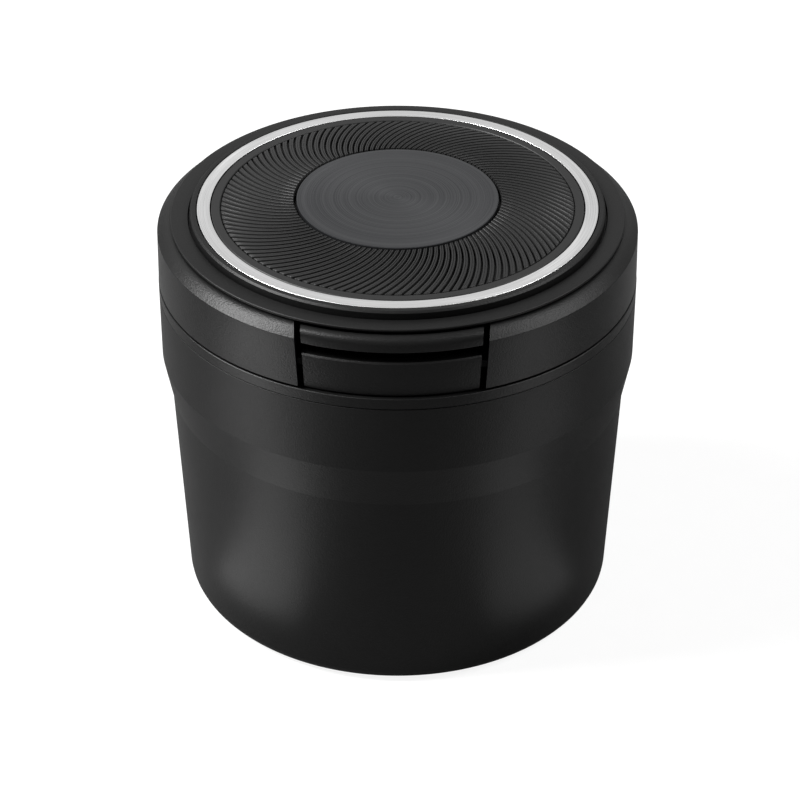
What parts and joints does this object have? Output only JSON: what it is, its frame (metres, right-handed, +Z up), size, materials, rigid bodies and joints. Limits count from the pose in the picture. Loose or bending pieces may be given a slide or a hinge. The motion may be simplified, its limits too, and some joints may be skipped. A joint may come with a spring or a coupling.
{
  "type": "car ashtray",
  "caption": "Round lidded ashtray that stands in a vehicle cup holder: a cup with a stepped wall, a hinged lid with swirl ribs and a bright ring, and a push button at the front.",
  "frame": {"origin": "centre of the pad under the cup, on the surface it stands on", "axes": "+Z up out of the cup, -Y towards the push button at the front, +X to the right seen from the front"},
  "size_m": [0.08, 0.08, 0.0727],
  "materials": {
    "cup_plastic": "fine satin black, heat-resistant plastic",
    "head_plastic": "satin black",
    "pad_rubber": "matt black",
    "seal_rubber": "matt dark grey silicone",
    "liner_steel": "brushed",
    "pin_steel": "ground",
    "spring_steel": "drawn wire",
    "bright_trim": "satin chrome",
    "rib_finish": "dark moulded, satin tops and black grooves",
    "disc_metal": "dark anodised with fine turned grooves",
    "shield_metal": "satin sheet",
    "screw_steel": "zinc plated"
  },
  "bodies": {
    "cup": {"cup_body": "cup_plastic", "base_pad": "pad_rubber", "collar_ring": "head_plastic", "head_housing": "head_plastic", "neck_seal": "seal_rubber", "inner_liner": "liner_steel", "snuffer_plate": "liner_steel", "hinge_pin": "pin_steel", "lid_spring": "spring_steel", "button_spring_left": "spring_steel", "button_spring_right": "spring_steel"},
    "lid": {"lid_base": "head_plastic", "lid_cover": "head_plastic", "trim_ring": "bright_trim", "rib_plate": "rib_finish", "centre_disc": "disc_metal", "lid_gasket": "seal_rubber", "heat_shield": "shield_metal", "lid_screws": "screw_steel"},
    "button": {"push_button": "head_plastic"}
  },
  "joints": [
    {"name": "lid_hinge", "type": "hinge", "parent": "cup", "child": "lid", "pos_m": [0, 0.037, 0.06725], "axis": [-1, 0, 0], "range_deg": [0, 95]},
    {"name": "button_press", "type": "slide", "parent": "cup", "child": "button", "axis": [0, 1, 0], "range_m": [0, 0.0009], "stiffness_N_per_m": 500, "springref_m": -0.002, "deforming": ["button_spring_left", "button_spring_right"]}
  ]
}
